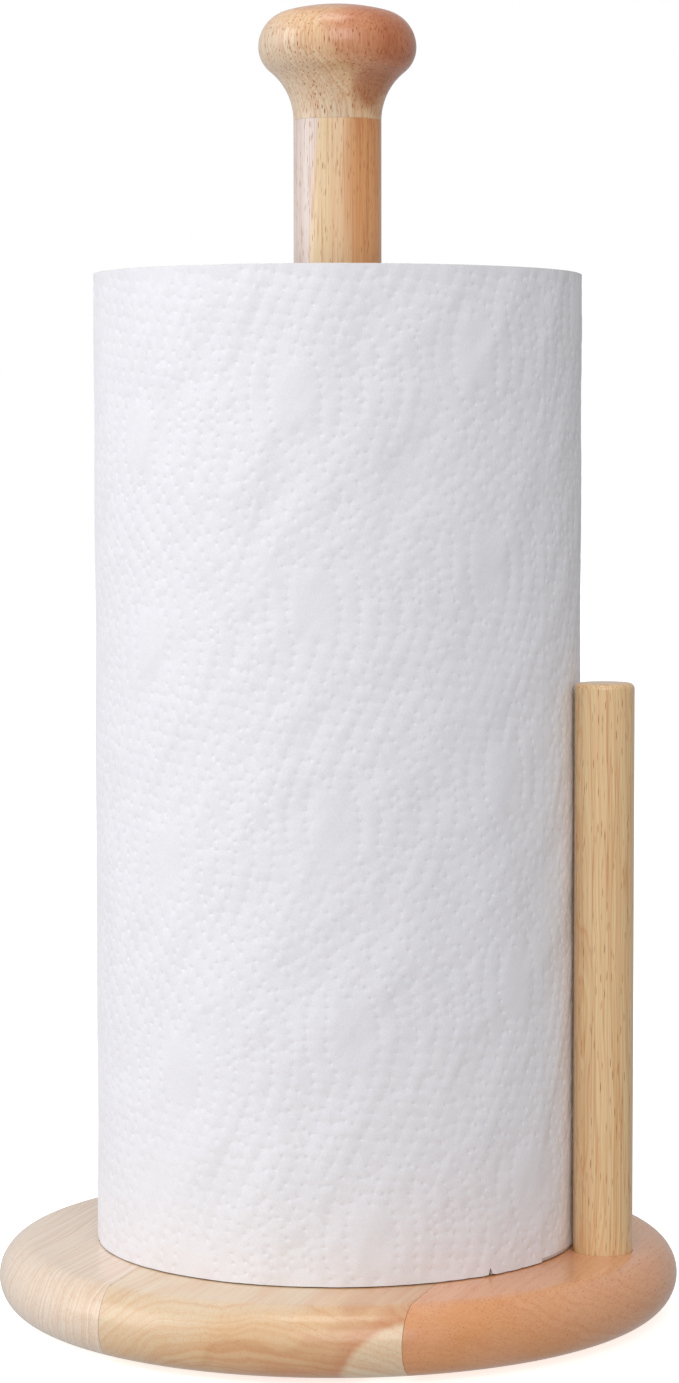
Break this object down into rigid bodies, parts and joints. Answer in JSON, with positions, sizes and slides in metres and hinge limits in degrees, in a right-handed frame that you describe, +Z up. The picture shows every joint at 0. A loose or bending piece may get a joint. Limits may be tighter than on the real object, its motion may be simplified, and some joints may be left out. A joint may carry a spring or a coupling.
{
  "type": "paper towel holder",
  "caption": "Countertop paper towel holder in turned wood: round base with a half-round edge, centre post with a knob, shorter side post, and a towel roll that turns and lifts off.",
  "frame": {"origin": "centre of the round base on the surface that the foot pads stand on, which is also the foot of the centre post's axis", "axes": "+Z up along the centre post; +X from the centre post to the side post; +Y along the grain of the base board and parallel to its glue lines"},
  "size_m": [0.18, 0.18, 0.3438],
  "materials": {
    "pale_wood": "satin",
    "tan_wood": "satin",
    "orange_wood": "satin",
    "post_wood": "satin",
    "knob_wood": "satin",
    "pin_wood": "matte",
    "side_post_wood": "satin",
    "zinc_steel": "satin",
    "pad_felt": "matte",
    "core_card": "matte",
    "wound_paper": "matte",
    "towel_paper": "matte"
  },
  "bodies": {
    "holder": {"base_stave_left": "pale_wood", "base_stave_middle": "tan_wood", "base_stave_right": "orange_wood", "foot_pad_1": "pad_felt", "foot_pad_2": "pad_felt", "foot_pad_3": "pad_felt", "foot_pad_4": "pad_felt", "center_post": "post_wood", "post_knob": "knob_wood", "knob_dowel_pin": "pin_wood", "post_screw": "zinc_steel", "side_post": "side_post_wood", "side_post_screw": "zinc_steel"},
    "core": {"roll_core": "core_card"},
    "paper": {"paper_winding": "wound_paper", "outer_towel": "towel_paper", "second_towel": "towel_paper"}
  },
  "joints": [
    {"name": "roll_lift", "type": "slide", "parent": "holder", "child": "core", "axis": [0, 0, 1], "range_m": [0, 0.35]},
    {"name": "roll_turn", "type": "hinge", "parent": "core", "child": "paper", "pos_m": [0, 0, 0.1468], "axis": [0, 0, 1], "continuous": true}
  ]
}
